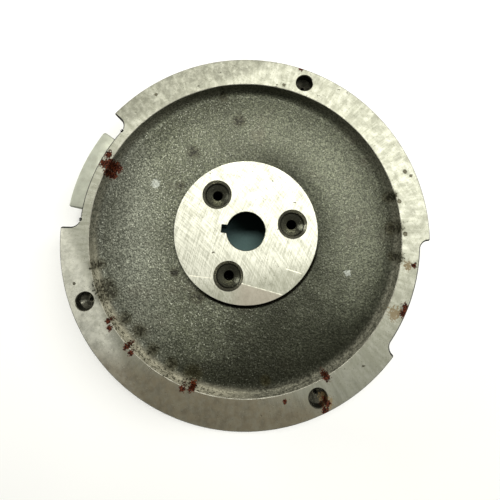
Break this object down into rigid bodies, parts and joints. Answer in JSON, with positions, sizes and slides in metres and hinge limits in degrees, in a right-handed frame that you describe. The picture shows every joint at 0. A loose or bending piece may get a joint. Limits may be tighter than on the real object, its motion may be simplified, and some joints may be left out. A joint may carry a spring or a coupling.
{
  "type": "engine flywheel",
  "caption": "Cast-iron flywheel with a keyed taper bore, a dished web, locating holes and an ignition magnet group let into its rim.",
  "frame": {"origin": "crank axis at the rear rim face, which the flywheel lies on", "axes": "+Z along the crank axis towards the fan side; the crank key points along -X; the magnet group is at 165 degrees from +X"},
  "size_m": [0.1835, 0.184, 0.03],
  "materials": {
    "cast_iron": "machined faces on a rough casting, light rust",
    "die_cast_aluminium": "as cast, dull",
    "magnet_alloy": "dark, ground",
    "electrical_steel": "ground on the outer edge",
    "zinc_steel": "dull zinc plate",
    "black_steel": "black oxide"
  },
  "bodies": {
    "root": {"flywheel_casting": "cast_iron", "magnet_carrier": "die_cast_aluminium", "ignition_magnet": "magnet_alloy", "leading_shoe_lamination_1": "electrical_steel", "leading_shoe_lamination_2": "electrical_steel", "leading_shoe_lamination_3": "electrical_steel", "leading_shoe_lamination_4": "electrical_steel", "leading_shoe_lamination_5": "electrical_steel", "leading_shoe_lamination_6": "electrical_steel", "leading_shoe_lamination_7": "electrical_steel", "leading_shoe_lamination_8": "electrical_steel", "leading_shoe_lamination_9": "electrical_steel", "leading_shoe_rivet": "zinc_steel", "leading_carrier_screw": "zinc_steel", "leading_spring_pin": "black_steel", "trailing_shoe_lamination_1": "electrical_steel", "trailing_shoe_lamination_2": "electrical_steel", "trailing_shoe_lamination_3": "electrical_steel", "trailing_shoe_lamination_4": "electrical_steel", "trailing_shoe_lamination_5": "electrical_steel", "trailing_shoe_lamination_6": "electrical_steel", "trailing_shoe_lamination_7": "electrical_steel", "trailing_shoe_lamination_8": "electrical_steel", "trailing_shoe_lamination_9": "electrical_steel", "trailing_shoe_rivet": "zinc_steel", "trailing_carrier_screw": "zinc_steel", "trailing_spring_pin": "black_steel"}
  },
  "joints": []
}
